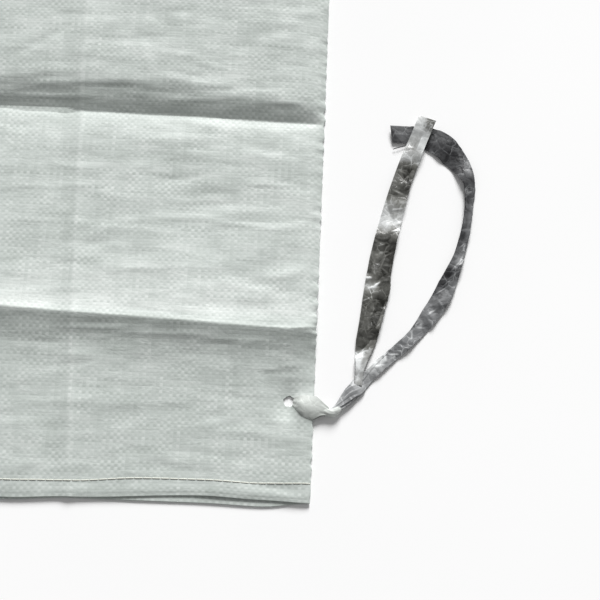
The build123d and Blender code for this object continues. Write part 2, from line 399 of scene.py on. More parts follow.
def make_floor(material):
    side = FLOOR_HALF_SIDE
    mesh = bpy.data.meshes.new("floor")
    corners = [(-side, -side, 0), (side, -side, 0), (side, side, 0), (-side, side, 0)]
    mesh.from_pydata(corners, [], [(0, 1, 2, 3)])
    mesh.materials.append(material)
    floor = bpy.data.objects.new("floor", mesh)
    bpy.context.scene.collection.objects.link(floor)
    floor.location.z = -FLOOR_DROP


def add_piece(name, mesh, material):
    """Puts a mesh in the scene, with its material in that slot."""
    mesh.materials.append(material)
    piece = bpy.data.objects.new(name, mesh)
    bpy.context.scene.collection.objects.link(piece)
    return piece


# ---------------------------------------------------------------- the shape of the cloth
def make_waves(count, shortest, longest, steepness, sideways):
    """Random low waves: each is a direction, a length, a height and a phase."""
    length = random.uniform(shortest, longest, count)
    turn = random.normal(0, sideways, count)
    height = steepness * math.sqrt(2 / count) * length / (2 * math.pi)
    phase = random.uniform(0, 2 * math.pi, count)
    return np.stack([np.sin(turn) / length, np.cos(turn) / length, height, phase], 1)


def waves(table, x, y):
    total = np.zeros(np.broadcast(x, y).shape)
    for across, along, height, phase in table:
        total += height * np.sin(2 * math.pi * (x * across + y * along) + phase)
    return total


# Short creases, listed: x, y, direction in degrees, length, height, width in millimetres.
CHOSEN_WRINKLES = [
    (262, -380, 3, 30, 0.35, 1.8),
    (266, -388, -2, 22, 0.30, 1.6),
    (248, -374, 8, 26, 0.28, 2.0),
    (240, -424, -4, 46, 0.30, 2.4),
    (262, -432, 6, 34, -0.30, 2.2),
    (251, -414, 2, 20, 0.25, 1.6),
    (180, -258, 2, 60, 0.45, 2.6),
    (212, -262, -5, 48, 0.40, 2.4),
    (196, -246, 4, 40, -0.35, 2.6),
    (236, -228, -3, 38, 0.35, 2.4),
    (168, -300, 3, 70, 0.30, 3.0),
    (120, -268, -4, 80, 0.28, 3.2),
    (70, -236, 4, 70, 0.28, 3.0),
    (140, -405, 2, 90, 0.25, 3.4),
    (205, -442, -5, 60, -0.30, 3.4),
    (95, -430, 3, 70, 0.25, 3.2),
    (246, -292, 18, 40, -0.8, 9.0),
    (252, -302, 12, 34, 0.5, 4.0),
    (60, -158, 2, 80, 0.5, 2.2),
    (118, -150, -3, 70, -0.5, 2.6),
    (176, -157, 2, 60, 0.45, 2.2),
    (205, -148, 4, 50, -0.45, 2.4),
    (236, -157, -3, 40, 0.5, 2.0),
    (84, -146, 3, 90, 0.45, 2.4),
    (170, -352, 1, 80, 0.35, 1.8),
    (222, -356, -2, 60, 0.4, 1.6),
    (100, -350, 2, 80, 0.35, 1.8),
    (60, -360, -2, 60, -0.35, 2.2),
]


def scattered_wrinkles(count):
    """Many faint creases over the whole sack, most of them across it and more near its side folds."""
    places = []
    for _ in range(count):
        x = random.uniform(-1, 1)
        x = math.copysign(abs(x) ** 0.8, x) * 275
        y = random.uniform(-470, 450)
        turn = random.normal(0, 9) if random.random() < 0.75 else random.normal(90, 12)
        length = random.uniform(16, 60)
        width = random.uniform(1.6, 4.6)
        height = random.choice([-1, 1]) * width * random.uniform(0.02, 0.10)
        places.append((x, y, turn, length, height, width))
    return places


class Field:
    """Heights on a square grid over the sack, read smoothly between its points."""

    STEP = 1.0 * MM
    MARGIN = 6 * MM

    def __init__(self):
        self.start_x = -HALF_WIDTH - self.MARGIN
        self.start_y = MOUTH_Y - self.MARGIN
        self.x = np.arange(self.start_x, HALF_WIDTH + self.MARGIN, self.STEP)[None, :]
        self.y = np.arange(self.start_y, BOTTOM_Y + self.MARGIN, self.STEP)[:, None]
        self.z = np.zeros((self.y.size, self.x.size))

    def add_wrinkle(self, middle_x, middle_y, turn, length, height, width):
        """Adds one crease, in millimetres and degrees, with ends that fade away."""
        reach = (0.75 * length + 3 * width) * MM
        columns = np.abs(self.x[0] - middle_x * MM) < reach
        rows = np.abs(self.y[:, 0] - middle_y * MM) < reach
        ahead_x, ahead_y = math.cos(math.radians(turn)), math.sin(math.radians(turn))
        off_x = self.x[:, columns] - middle_x * MM
        off_y = self.y[rows] - middle_y * MM
        along = (off_x * ahead_x + off_y * ahead_y) / (0.5 * length * MM)
        beside = (off_y * ahead_x - off_x * ahead_y) / (width * MM)
        shape = height * MM * np.exp(-(beside**2)) * np.exp(-(along**4))
        self.z[np.ix_(rows, columns)] += shape

    def at(self, x, y):
        """The height at each place, by quadratic splines, so that its slope has no steps."""
        column = (x - self.start_x) / self.STEP
        row = (y - self.start_y) / self.STEP
        near_column = np.clip(np.rint(column).astype(int), 1, self.z.shape[1] - 2)
        near_row = np.clip(np.rint(row).astype(int), 1, self.z.shape[0] - 2)
        total = 0.0
        for step_row, share_row in self.shares(row - near_row):
            for step_column, share_column in self.shares(column - near_column):
                z = self.z[near_row + step_row, near_column + step_column]
                total = total + share_row * share_column * z
        return total

    @staticmethod
    def shares(offset):
        t = np.clip(offset, -0.5, 0.5)
        return ((-1, 0.5 * (0.5 - t) ** 2), (0, 0.75 - t**2), (1, 0.5 * (0.5 + t) ** 2))


def smooth_stops(x, places, amounts):
    """A smooth curve through a few stops, in metres. The places and amounts are in millimetres."""
    numbers = np.arange(len(places))
    along = np.interp(x / MM, places, numbers)
    whole = np.floor(along)
    part = along - whole
    return np.interp(whole + part * part * (3 - 2 * part), numbers, amounts) * MM


def crease_skew(x, places, amounts):
    """How far a pressed crease strays from square, in metres."""
    return np.interp(x / MM, places, amounts) * MM


# Where each crease strays from square: places across the sack, and how far along it, in millimetres.
FIRST_SKEW = ([-275, -100, 40, 160, 255, 275], [-0.5, 2, 4, -1.5, -5.5, -2.5])
SECOND_SKEW = ([-275, -100, 20, 180, 275], [0, 1.5, 3, -0.5, -3])


def past_first_crease(x, y):
    """How far a place is beyond the first crease, in millimetres."""
    return (y - FIRST_CREASE_Y - crease_skew(x, *FIRST_SKEW)) / MM


def ridge(t, run=26.0):
    """A crease that stands up: a gentle rise from +Y to its line over that run, then a steeper drop."""
    ahead = np.clip(t, 0, None)
    behind = np.clip(-t, 0, None)
    rise = 5.4 * np.exp(-ahead / run) + 0.6 * np.exp(-ahead / 3.5)
    drop = 6.0 - 8.5 * (1 - np.exp(-((behind / 20) ** 1.25))) - 1.7 * (1 - np.exp(-behind / 70))
    return np.where(t >= 0, rise, drop)


def valley(t, fall, run):
    """A crease that lies down: a fall of that depth over that run from +Y, then a slower rise."""
    beyond = np.clip(t / run, 0, 1)
    before = np.clip(-t, 0, None)
    far_side = fall * (1 - (1 - beyond) ** 1.6)
    near_side = 2.2 * (1 - np.exp(-before / 8)) + 3.0 * (1 - np.exp(-before / 32))
    return np.where(t >= 0, far_side, near_side) - 5.2


def soft_crease(t, height):
    """A faint crease of that height, rounded off over 14 mm each way."""
    return height * np.exp(-np.abs(t) / 14)


# Faint creases beyond the second one, guessed: place along the sack in metres, height in millimetres.
FAINT_CREASES = ((0.0, 1.6), (0.17, -2.0), (0.34, 1.6))
SCATTERED_COUNT = 1500
SEAM_STEP = 0.06  # how far the hem lies below the cloth beyond its seam, in millimetres
DROOP = 0.9  # of the front layer at the mouth's very edge, in millimetres


def seam_stray(x):
    """How far the hem's sewn line strays along the sack: few stops, in millimetres."""
    return smooth_stops(x, [-275, -150, 90, 160, 225, 275], [0, 0.5, -3.5, -1, -2, 0])


def front_field():
    """Height of the front layer away from the side folds."""
    field = Field()
    x, y = field.x, field.y
    first = past_first_crease(x, y)
    second = (y - SECOND_CREASE_Y - crease_skew(x, *SECOND_SKEW)) / MM
    fall = np.interp(x / MM, [-275, -100, 60, 160, 210, 250, 275], [5.5, 6.5, 9.2, 9.4, 7.6, 6.6, 5.6])
    run = np.interp(x / MM, [-275, -100, 60, 160, 210, 250, 275], [22, 25, 32, 30, 23, 21, 19])
    rise_run = np.interp(x / MM, [-275, 60, 130, 275], [24, 24, 27, 27])
    folds = ridge(first, rise_run) + valley(second, fall, run)
    for place, height in FAINT_CREASES:
        folds = folds + soft_crease((y - place) / MM, height)
    lean = CREASE_LEAN * (np.minimum(y, CREASE_LEAN_END_Y) - HOLE[1])
    lengthwise = (np.abs(x) - LENGTHWISE_CREASE_X + lean) / MM
    folds = folds + 0.8 * np.exp(-np.abs(lengthwise) / 5) - 0.5 * np.exp(-(((lengthwise + 12) / 8) ** 2))
    hem = (y - HEM_SEAM_Y - seam_stray(x)) / MM
    folds = folds - SEAM_STEP * ease(0.4, -2.2, hem) * (1 - ease(-2.2, -11, hem))
    folds = folds - DROOP * np.exp(-((np.clip(y - MOUTH_Y, 0, None) / (2.0 * MM)) ** 1.5))
    for wrinkle in CHOSEN_WRINKLES + scattered_wrinkles(SCATTERED_COUNT):
        field.add_wrinkle(*wrinkle)
    soft = make_waves(30, 45 * MM, 150 * MM, 0.026, 0.8)
    crinkles = make_waves(40, 12 * MM, 34 * MM, 0.020, 0.6)
    rough = field.z + waves(crinkles, x, y)
    calm = 1 - 0.8 * np.exp(-((first / 5) ** 2)) - 0.8 * np.exp(-((second / 5) ** 2))
    field.z = FRONT_HEIGHT + folds * MM + calm * rough + waves(soft, x, y)
    return field


def raised_edge(x, y):
    """How far the standing first crease lifts the back layer, and the front over it at the side folds."""
    return 0.5 * MM * np.clip(ridge(past_first_crease(x, y)), 0, None)


def back_field():
    """Height of the back layer."""
    field = Field()
    x, y = field.x, field.y
    lift = 0.12 * MM * ease(FIRST_CREASE_Y + 10 * MM, FIRST_CREASE_Y - 30 * MM, y)
    uneven = np.abs(waves(make_waves(20, 40 * MM, 160 * MM, 0.006, 1.2), x, y))
    field.z = BACK_HEIGHT + lift + raised_edge(x, y) + uneven
    return field


FRONT = front_field()
BACK = back_field()
RAGGED = make_waves(24, 4 * MM, 14 * MM, 0.24, 0.2)


def hole_press(x, y):
    """1 at the hole, where the tie presses the two layers together, fading to 0 round it."""
    off_x, off_y = x - HOLE[0], y - HOLE[1]
    return np.exp(-((off_x / (13 * MM)) ** 2) - (off_y / (16 * MM)) ** 2)


def tie_gather(x, y):
    """1 between the hole and the edge, where the tie gathers the cloth into a low hump."""
    off_x = np.clip(np.abs(x - (HOLE[0] + 13 * MM)) - 3 * MM, 0, None)
    off_y = y - (HOLE[1] - 4 * MM)
    return np.exp(-((off_x / (5 * MM)) ** 2) - np.abs(off_y / (10 * MM)) ** 2.4)


def edge_gap(x, y):
    """How far the front layer is over the back one at the side folds."""
    return EDGE_GAP + raised_edge(x, y)


def layer_heights(x, y):
    """Heights of the front and back layers, drawn together at the side folds, hole and bottom seam."""
    back = BACK.at(x, y)
    front = FRONT.at(x, y)
    press = hole_press(x, y)
    gather = tie_gather(x, y)
    back = back + press * (PRESSED_BACK - back) + 0.35 * MM * gather
    from_edge = np.clip(HALF_WIDTH - np.abs(x), 0, None)
    share = 1 - np.exp(-from_edge / EDGE_RUN)
    gap = edge_gap(x, y)
    front = back + gap + share * np.clip(front - back - gap, 0.1 * MM, None)
    front = front + press * (PRESSED_FRONT - front) * (1 - gather) + 1.2 * MM * gather
    seam = ease(BOTTOM_START_Y, BOTTOM_PLY_END, y)
    back = back + seam * (SEAM_BACK_Z - back)
    front = front + seam * (SEAM_FRONT_Z - front)
    return front, back


def edge_shift(x, on_front):
    """How far the mouth's edge strays along the sack: few stops, in millimetres."""
    places = [-275, -60, 60, 100, 200, 240, 275]
    front = [2.5, 1, -1.5, 0.5, 5, 3.5, 2.5]
    back = [2.5, 0, -2.5, 0, 0, -1, 2.5]
    return smooth_stops(x, places, front if on_front else back)


def base_surface(u, y):
    """The outer face of the flat tube. u runs round it: -275 to 275 on the front, then the back."""
    around = 2 * HALF_WIDTH
    u = np.mod(u + HALF_WIDTH, 2 * around) - HALF_WIDTH
    edge_front, edge_back = layer_heights(np.full_like(y, HALF_WIDTH), y)
    radius = (edge_front - edge_back) / 2
    half_turn = 0.5 * math.pi * radius
    on_front = u < HALF_WIDTH
    flat_x = np.where(on_front, u, around - u)
    limit = HALF_WIDTH - radius
    x = np.clip(flat_x, -limit, limit)
    front, back = layer_heights(x, y)
    right = np.abs(u - HALF_WIDTH) < half_turn
    left_u = np.where(u < 0, u + 2 * around, u) - (HALF_WIDTH + around)
    left = np.abs(left_u) < half_turn
    angle = np.where(right, (u - HALF_WIDTH) / half_turn, left_u / half_turn) * math.pi / 2
    side = np.where(right, 1.0, -1.0)
    ends_x = side * (limit + radius * np.cos(angle))
    fold_front, fold_back = layer_heights(side * limit, y)
    level = (fold_front + fold_back) / 2
    reach = (fold_front - fold_back) / 2
    ends_z = level - side * reach * np.sin(angle)
    turning = right | left
    px = np.where(turning, ends_x, x)
    pz = np.where(turning, ends_z, np.where(on_front, front, back))
    near_side = ease(HALF_WIDTH - 12 * MM, HALF_WIDTH, np.abs(px))
    px = px + near_side * np.sign(px) * waves(RAGGED, 0.0, y)
    mouth = np.exp(-np.clip(y - MOUTH_Y, 0, None) / MOUTH_FADE)
    shift_front = edge_shift(px, True)
    shift_back = edge_shift(px, False)
    share = np.clip((pz - back) / np.clip(front - back, 0.1 * MM, None), 0, 1)
    py = y + mouth * (shift_back + share * (shift_front - shift_back))
    return np.stack([px, py, pz], -1)


def slope_normal(surface, u, v, step=0.05 * MM):
    """Unit normals of a surface given as a function of two parameters."""
    along_u = surface(u + step, v) - surface(u - step, v)
    along_v = surface(u, v + step) - surface(u, v - step)
    normal = np.cross(along_u, along_v)
    return normal / np.linalg.norm(normal, axis=-1, keepdims=True)


def cloth_surface(u, v):
    """The cloth's middle surface. Before the mouth's edge it turns in, past the far end it folds over."""
    beyond = np.clip(MOUTH_Y - v, 0, None)
    angle = np.clip(beyond / TURN_RADIUS, 0, math.pi)
    inner_run = np.clip(beyond - TURN_LENGTH, 0, None)
    y = np.clip(v, MOUTH_Y, BOTTOM_TURN_Y) + inner_run
    point = base_surface(u, y)
    hem = beyond > 0
    if hem.any():
        inward = -slope_normal(base_surface, u[hem], y[hem])
        point[hem] += inward * (TURN_RADIUS * (1 - np.cos(angle[hem])))[..., None]
        point[hem, 1] -= TURN_RADIUS * np.sin(angle[hem])
    return fold_over_bottom(point, v)


def fold_over_bottom(point, v):
    """Turns what lies past the end of the sack up and back over the front layer."""
    past = np.clip(v - BOTTOM_TURN_Y, 0, None)
    radius = SEAM_FOLD_Z - point[..., 2]
    angle = np.clip(past / END_FOLD_RADIUS, 0, math.pi)
    back_run = np.clip(past - END_FOLD_RADIUS * math.pi, 0, None)
    folded = past > 0
    point[..., 1] = np.where(folded, BOTTOM_TURN_Y + radius * np.sin(angle) - back_run, point[..., 1])
    point[..., 2] = np.where(folded, SEAM_FOLD_Z - radius * np.cos(angle), point[..., 2])
    return point


# ---------------------------------------------------------------- cloth meshes
PITCH = 2.8 * MM  # between grid lines that the picture shows
CREASE_PITCH = 0.85 * MM  # near the two creases
SEAM_PITCH = 4 * MM  # at the far end's seam
FINE_END_Y = -100 * MM  # beyond here the grid is coarser, as the picture does not reach


def spread(stops, pitch):
    """Grid lines that pass through every stop, about one pitch apart."""
    lines = [stops[0]]
    for start, end in zip(stops, stops[1:]):
        count = max(1, round(abs(end - start) / pitch))
        lines += [start + (end - start) * (step + 1) / count for step in range(count)]
    return lines


SIDE_REACH = 0.5 * math.pi * EDGE_GAP / 2  # from a side fold's middle to its flat part


def side_lines(centre):
    """Closely spaced grid lines round a side fold."""
    return [centre + SIDE_REACH * share for share in (-1.0, -0.6, -0.2, 0.2, 0.6, 1.0)]


def front_columns(low, high, pitch):
    stops = [-250 * MM, -LENGTHWISE_CREASE_X, LENGTHWISE_CREASE_X, HOLE[0] - 32 * MM]
    stops += [HOLE[0] - HOLE_WINDOW, HOLE[0] + HOLE_WINDOW]
    inside = [stop for stop in stops if low < stop < high]
    return spread([low, *inside, high], pitch)


def tube_columns(front_pitch, back_pitch):
    """Grid lines all the way round the tube, starting at the left-hand fold."""
    around = 2 * HALF_WIDTH
    left = [line - around for line in side_lines(HALF_WIDTH)]
    right = side_lines(HALF_WIDTH)
    front = front_columns(left[-1], right[0], front_pitch)[1:-1]
    window = [around - HOLE[0] - HOLE_WINDOW, around - HOLE[0] + HOLE_WINDOW]
    near_hole = spread([right[-1], *window], front_pitch)[1:]
    rest = spread([window[1], around + HALF_WIDTH - SIDE_REACH], back_pitch)[1:-1]
    return left + front + right + near_hole + rest


class Patch:
    """A sheet of quads: places, normals, texture places and corner numbers."""

    def __init__(self, columns, rows, closed=False):
        self.columns = np.array(columns)
        self.rows = np.array(rows)
        self.closed = closed
        u, v = np.meshgrid(self.columns, self.rows)
        self.u = u.ravel()
        self.v = v.ravel()
        across = len(columns)
        cells_across = across if closed else across - 1
        row, column = np.meshgrid(np.arange(len(rows) - 1), np.arange(cells_across), indexing="ij")
        self.cell_row = row.ravel()
        self.cell_column = column.ravel()
        after = (self.cell_column + 1) % across
        low = self.cell_row * across
        high = low + across
        upward = self.rows[1] > self.rows[0]
        corners = [low + self.cell_column, low + after, high + after, high + self.cell_column]
        self.cells = np.stack(corners if upward else corners[::-1], 1)

    def cell_middles(self):
        return self.u[self.cells].min(1), self.v[self.cells].mean(1), self.u[self.cells].max(1)

    def keep(self, wanted):
        self.cells = self.cells[wanted]

    def cut_hole(self, centre_u, centre_v):
        """Replaces a square of cells with rings round a hole."""
        reach = HOLE_WINDOW + 0.01 * MM
        middle_u = self.u[self.cells].mean(1)
        middle_v = self.v[self.cells].mean(1)
        inside = (np.abs(middle_u - centre_u) < reach) & (np.abs(middle_v - centre_v) < reach)
        self.cells = self.cells[~inside]
        on_square = np.maximum(np.abs(self.u - centre_u), np.abs(self.v - centre_v))
        border = np.where(np.abs(on_square - HOLE_WINDOW) < 0.02 * MM)[0]
        angles = np.arctan2(self.v[border] - centre_v, self.u[border] - centre_u)
        order = np.argsort(angles)
        border, angles = border[order], angles[order]
        rings = [border]
        for share in (0.72, 0.48, 0.28, 0.12, 0.0):
            ragged = 1 + 0.05 * np.sin(5 * angles) + 0.04 * np.sin(9 * angles + 1)
            circle_u = centre_u + HOLE_RADIUS * ragged * np.cos(angles)
            circle_v = centre_v + HOLE_STRAY + HOLE_RADIUS * ragged * np.sin(angles)
            start = len(self.u)
            self.u = np.append(self.u, circle_u + share * (self.u[border] - circle_u))
            self.v = np.append(self.v, circle_v + share * (self.v[border] - circle_v))
            rings.append(np.arange(start, start + len(border)))
        for outer, inner in zip(rings, rings[1:]):
            quads = [inner, outer, np.roll(outer, -1), np.roll(inner, -1)]
            self.cells = np.append(self.cells, np.stack(quads, 1), 0)


def thick_mesh(name, place, normal, texture, cells, thickness, material):
    """A closed sheet of even thickness, with smooth faces and sharp cut edges."""
    used, flat = np.unique(cells, return_inverse=True)
    cells = flat.reshape(cells.shape)
    place, normal, texture = place[used], normal[used], texture[used]
    count = len(used)
    pairs = np.concatenate([cells[:, [k, (k + 1) % 4]] for k in range(4)])
    keys = pairs[:, 0] * count + pairs[:, 1]
    mirrored = pairs[:, 1] * count + pairs[:, 0]
    rim = pairs[~np.isin(keys, mirrored)]
    sides = np.stack([rim[:, 1], rim[:, 0], rim[:, 0] + count, rim[:, 1] + count], 1)
    faces = np.concatenate([cells, cells[:, ::-1] + count, sides])
    points = np.concatenate([place + normal * thickness / 2, place - normal * thickness / 2])

    mesh = bpy.data.meshes.new(name)
    mesh.vertices.add(len(points))
    mesh.vertices.foreach_set("co", points.astype(np.float32).ravel())
    mesh.loops.add(faces.size)
    mesh.loops.foreach_set("vertex_index", faces.ravel().astype(np.int32))
    mesh.polygons.add(len(faces))
    mesh.polygons.foreach_set("loop_start", np.arange(0, faces.size, 4, dtype=np.int32))
    mesh.update(calc_edges=True)
    mesh.polygons.foreach_set("use_smooth", np.ones(len(faces), bool))
    layer = mesh.uv_layers.new(name="cloth")
    layer.data.foreach_set("uv", texture[faces.ravel() % count].astype(np.float32).ravel())

    top, rim_start = len(cells), 2 * len(cells)
    loop_normals = np.zeros((faces.size, 3))
    loop_normals[: top * 4] = normal[cells.ravel()]
    loop_normals[top * 4 : rim_start * 4] = -normal[cells[:, ::-1].ravel()]
    a, b, c = (points[sides[:, k]] for k in (0, 1, 2))
    flat_normal = np.cross(b - a, c - b)
    flat_normal /= np.clip(np.linalg.norm(flat_normal, axis=1, keepdims=True), 1e-12, None)
    loop_normals[rim_start * 4 :] = np.repeat(flat_normal, 4, 0)
    mesh.normals_split_custom_set(loop_normals.tolist())
    mesh.validate(clean_customdata=False)
    return add_piece(name, mesh, material)


def cloth_piece(name, patch, material):
    place = cloth_surface(patch.u, patch.v)
    normal = slope_normal(cloth_surface, patch.u, patch.v)
    texture = np.stack([patch.u, patch.v], 1)
    return thick_mesh(name, place, normal, texture, patch.cells, CLOTH, material)


MIDDLE_CUT_Y = (FIRST_CREASE_Y + SECOND_CREASE_Y) / 2
HEM_ROWS = [MOUTH_Y - TURN_LENGTH * share for share in (0.25, 0.5, 0.75, 1.0)]
HEM_INNER_ROWS = [MOUTH_Y - TURN_LENGTH - HEM_DEPTH * share for share in (0.12, 0.35, 0.6, 0.85, 1.0)]


def mouth_rows(start):
    """Grid lines from the start to the mouth and round its hem, closer together at the first crease."""
    past_hinge = spread([FLAP_HINGE_Y, HOLE[1] + HOLE_WINDOW, HOLE[1] - HOLE_WINDOW, MOUTH_Y], PITCH)
    rows = past_hinge + HEM_ROWS + HEM_INNER_ROWS
    if start <= FLAP_HINGE_Y:
        return rows
    near = FIRST_CREASE_Y + 9 * MM
    return spread([start, near], PITCH) + spread([near, FLAP_HINGE_Y], CREASE_PITCH)[1:-1] + rows


def four_walls(section):
    """The CAD nodes of a section's two panels and two side folds."""
    return [f"{section}_{part}" for part in ("front_panel", "back_panel", "left_fold", "right_fold")]


def make_lower_cloth(material):
    """From the mouth to the middle of the second section, without the flap."""
    patch = Patch(tube_columns(PITCH, 6 * MM), mouth_rows(MIDDLE_CUT_Y), closed=True)
    left, middle, right = patch.cell_middles()
    on_flap = (left > FLAP_LEFT - 0.1 * MM) & (right < FLAP_RIGHT + 0.1 * MM) & (middle < FLAP_HINGE_Y)
    patch.keep(~on_flap)
    patch.cut_hole(HOLE[0], HOLE[1])
    patch.cut_hole(2 * HALF_WIDTH - HOLE[0], HOLE[1])
    piece = cloth_piece("sack_lower_cloth", patch, material)
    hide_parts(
        "mouth_back_panel",
        "mouth_left_fold",
        "mouth_right_fold",
        "mouth_left_margin",
        "mouth_right_margin",
        "mouth_crease_band",
        "margin_hems",
        "back_hem",
        *four_walls("middle"),
    )
    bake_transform(piece)


def make_upper_cloth(material):
    """From the middle of the second section to the sewn end, which is turned over."""
    crease = [SECOND_CREASE_Y - 9 * MM, SECOND_CREASE_Y + 8 * MM]
    near = spread([MIDDLE_CUT_Y, crease[0]], PITCH) + spread(crease, CREASE_PITCH)[1:]
    near = near + spread([crease[1], FINE_END_Y], PITCH)[1:]
    far = spread([FINE_END_Y, BOTTOM_START_Y, BOTTOM_PLY_END], 5.2 * MM)[1:]
    seam = spread([BOTTOM_PLY_END, BOTTOM_TURN_Y], SEAM_PITCH)[1:]
    turn = [BOTTOM_TURN_Y + END_FOLD_RADIUS * math.pi * share for share in (0.2, 0.4, 0.6, 0.8, 1.0)]
    over = spread([turn[-1], turn[-1] + BOTTOM_TURN_Y - BOTTOM_PLY_END], SEAM_PITCH)[1:]
    patch = Patch(tube_columns(PITCH, 7 * MM), near + far + seam + turn + over, closed=True)
    piece = cloth_piece("sack_upper_cloth", patch, material)
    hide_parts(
        *four_walls("main"),
        "bottom_back_layer",
        "bottom_front_layer",
        "bottom_left_corner",
        "bottom_right_corner",
        "bottom_turned_end",
    )
    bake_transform(piece)


def make_flap(material):
    """The part of the mouth's front layer over the flap, in three strips divided at the lengthwise creases;
    only the middle one lifts with it.
    """
    strips = [
        ("mouth_flap_left", FLAP_LEFT, -LENGTHWISE_CREASE_X),
        ("mouth_flap_centre", -LENGTHWISE_CREASE_X, LENGTHWISE_CREASE_X),
        ("mouth_flap_right", LENGTHWISE_CREASE_X, FLAP_RIGHT),
    ]
    for name, low, high in strips:
        patch = Patch(front_columns(low, high, PITCH), mouth_rows(FLAP_HINGE_Y))
        piece = cloth_piece(name, patch, material)
        follow_flap(piece, low, high)
        if low < 0 < high:
            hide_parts("mouth_front_panel", "front_hem")


def follow_flap(piece, low, high):
    """The middle strip lifts whole with the flap; a strip beside the side folds stays fixed where it lies."""
    if low < 0 < high:
        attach(piece, "mouth_flap")
    elif high < 0:
        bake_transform(piece)
    else:
        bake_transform(piece)


# ---------------------------------------------------------------- threads
def tube_mesh(name, path, radius, sides, material, flatten=1.0):
    """A thin tube along a path, used for thread."""
    path = np.array(path)
    ahead = np.gradient(path, axis=0)
    ahead /= np.linalg.norm(ahead, axis=1, keepdims=True)
    level = np.cross(ahead, (0.0, 0.0, 1.0))
    level /= np.clip(np.linalg.norm(level, axis=1, keepdims=True), 1e-9, None)
    upward = np.cross(level, ahead)
    turn = np.arange(sides) * 2 * math.pi / sides
    ring = level[:, None] * np.cos(turn)[:, None] + flatten * upward[:, None] * np.sin(turn)[:, None]
    points = (path[:, None] + radius * ring).reshape(-1, 3)
    faces = []
    for row in range(len(path) - 1):
        for side in range(sides):
            after = (side + 1) % sides
            low, high = row * sides, (row + 1) * sides
            faces.append((low + side, high + side, high + after, low + after))
    last = (len(path) - 1) * sides
    faces.append(tuple(range(sides)))
    faces.append(tuple(last + side for side in range(sides))[::-1])
    mesh = bpy.data.meshes.new(name)
    mesh.from_pydata(points.tolist(), [], faces)
    mesh.polygons.foreach_set("use_smooth", np.ones(len(faces), bool))
    return add_piece(name, mesh, material)


# One stitch: how far along it, and how high the thread is over the cloth, in thread radii.
STITCH_SHAPE = [(0.0, -0.9), (0.05, 0.1), (0.2, 0.35), (0.5, 0.4), (0.8, 0.35), (0.95, 0.1)]
THREAD_RADIUS = 0.45 * MM
HEM_STITCH = 6.2 * MM
BOTTOM_STITCH = 8 * MM
LOOPER_RADIUS = 0.16 * MM


def stitches(low_u, high_u, place_of, pitch):
    """A row of stitches on a surface: the thread shows, dips through the cloth and comes up again."""
    count = max(1, round((high_u - low_u) / pitch))
    step = (high_u - low_u) / count
    places, lifts = [], []
    for number in range(count):
        for share, lift in STITCH_SHAPE:
            places.append(low_u + (number + share) * step)
            lifts.append(lift)
    places.append(high_u)
    lifts.append(STITCH_SHAPE[0][1])
    point, normal = place_of(np.array(places))
    return point + normal * (CLOTH / 2 + np.array(lifts)[:, None] * THREAD_RADIUS)


def hem_line(u):
    """The sewn line on the hem's outer face, a little uneven."""
    v = HEM_SEAM_Y + seam_stray(u) + 0.2 * MM * np.sin(u / (11 * MM) + 1)
    return cloth_surface(u, v), slope_normal(cloth_surface, u, v)


def make_hem_threads(material):
    around = 2 * HALF_WIDTH
    spans = [
        ("hem_thread_left", FLAP_LEFT, -LENGTHWISE_CREASE_X),
        ("hem_thread_centre", -LENGTHWISE_CREASE_X, LENGTHWISE_CREASE_X),
        ("hem_thread_right", LENGTHWISE_CREASE_X, FLAP_RIGHT),
        ("hem_thread_back", FLAP_RIGHT, around + HALF_WIDTH + (HALF_WIDTH + FLAP_LEFT)),
    ]
    for name, low, high in spans:
        row = stitches(low, high, hem_line, HEM_STITCH)
        piece = tube_mesh(name, row, THREAD_RADIUS, 8, material, flatten=0.5)
        if name == "hem_thread_back":
            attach(piece, "sack_mouth")
            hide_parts("back_hem_thread")
        else:
            follow_flap(piece, low, high)
            if low < 0 < high:
                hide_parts("front_hem_thread")


def make_bottom_threads(material):
    """A needle thread over the turned end and a looper chain under it."""
    reach = HALF_WIDTH - 6 * MM

    def needle_line(u):
        height = 2 * SEAM_FOLD_Z - SEAM_BACK_Z
        point = np.stack([u, np.full_like(u, BOTTOM_SEAM_Y), np.full_like(u, height)], 1)
        return point, np.tile((0.0, 0.0, 1.0), (len(u), 1))

    row = stitches(-reach, reach, needle_line, BOTTOM_STITCH)
    name = "bottom_needle_stitches"
    needle = tube_mesh(name, row, THREAD_RADIUS, 8, material, flatten=0.5)
    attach(needle, "sack_main")
    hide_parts("bottom_needle_thread")

    links = round(2 * reach / BOTTOM_STITCH)
    turn = np.linspace(0, links * 2 * math.pi, links * 12)
    x = -reach + 2 * reach * turn / turn[-1] + 2.4 * MM * np.sin(2 * turn)
    y = BOTTOM_SEAM_Y + 0.8 * MM * np.sin(turn)
    z = 0.2 * MM + 0.08 * MM * np.cos(turn)
    path = np.stack([x, y, z], 1)
    chain = tube_mesh("bottom_looper_chain", path, LOOPER_RADIUS, 5, material)
    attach(chain, "sack_main")
    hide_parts("bottom_looper_thread")


# ---------------------------------------------------------------- the film tie
FILM_WIDTH = 20 * MM
FILM_THICKNESS = 0.12 * MM
PLY_STEP = 0.35 * MM  # how much higher each folded-over layer lies

